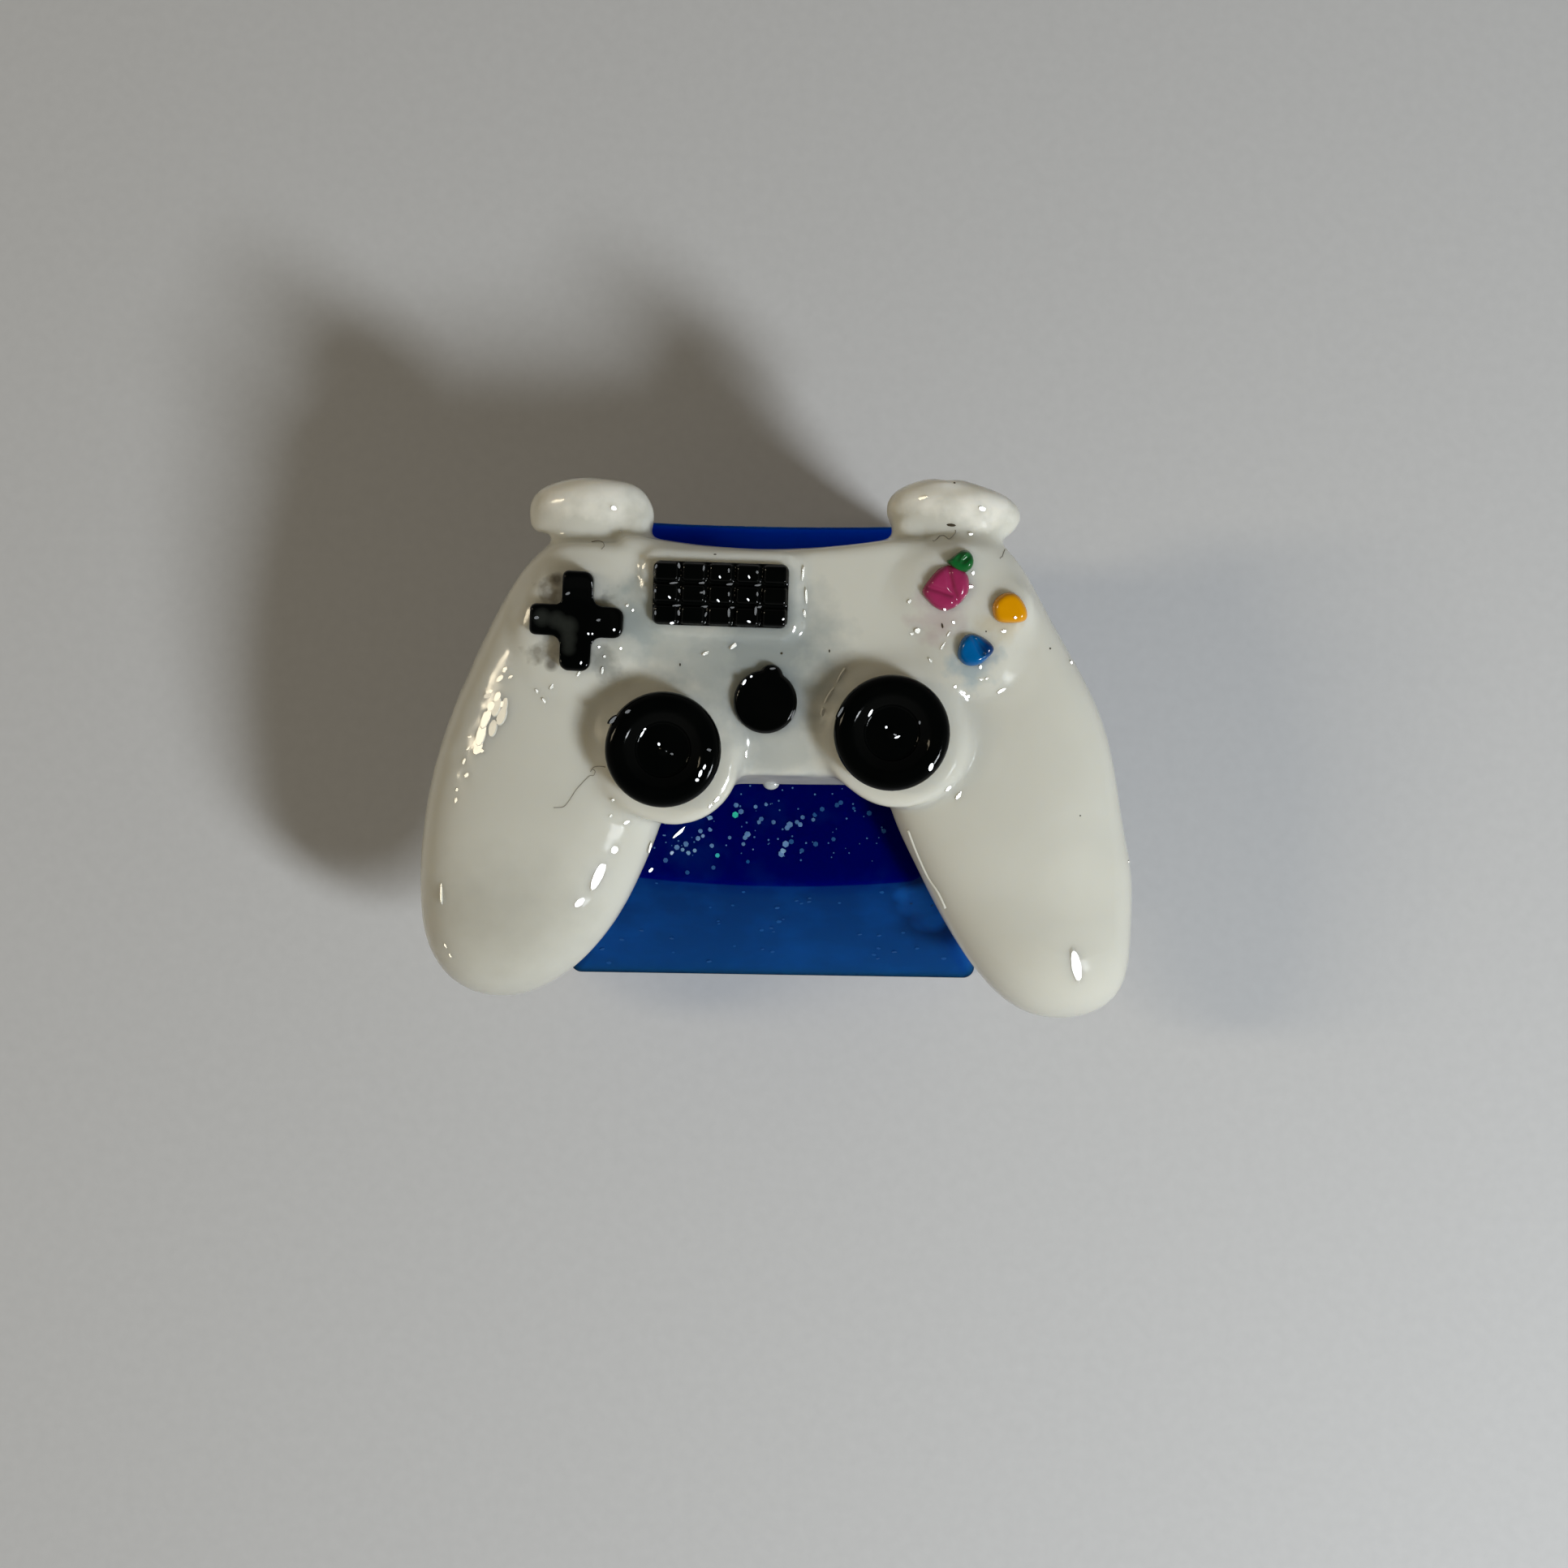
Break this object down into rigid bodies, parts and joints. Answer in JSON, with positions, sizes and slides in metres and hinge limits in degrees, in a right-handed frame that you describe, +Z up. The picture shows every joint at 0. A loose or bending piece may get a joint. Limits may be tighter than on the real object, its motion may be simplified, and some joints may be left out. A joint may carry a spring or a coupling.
{
  "type": "artisan keycap",
  "caption": "Hand-cast resin keycap with a hollow underside, a cross socket for a key switch and a miniature game pad bonded to its slanted top.",
  "frame": {"origin": "on the axis of the switch post, in the plane of the keycap's bottom rim", "axes": "+Z up, square to the bottom rim; +X to the right of someone typing; +Y towards the back of the keyboard"},
  "size_m": [0.0299, 0.0221, 0.0152],
  "materials": {
    "blue_resin": "translucent deep blue cast resin with glitter, glossy",
    "white_resin": "opaque white cast resin, glossy",
    "black_resin": "black cast resin, glossy",
    "pink_resin": "pink cast resin, glossy",
    "green_resin": "green cast resin, glossy",
    "yellow_resin": "yellow cast resin, glossy",
    "sky_blue_resin": "sky blue cast resin, glossy"
  },
  "bodies": {
    "root": {"keycap_base": "blue_resin", "gamepad_body": "white_resin", "direction_pad": "black_resin", "touch_panel": "black_resin", "left_thumbstick": "black_resin", "right_thumbstick": "black_resin", "home_button": "black_resin", "pink_button": "pink_resin", "green_button": "green_resin", "yellow_button": "yellow_resin", "blue_button": "sky_blue_resin"}
  },
  "joints": []
}
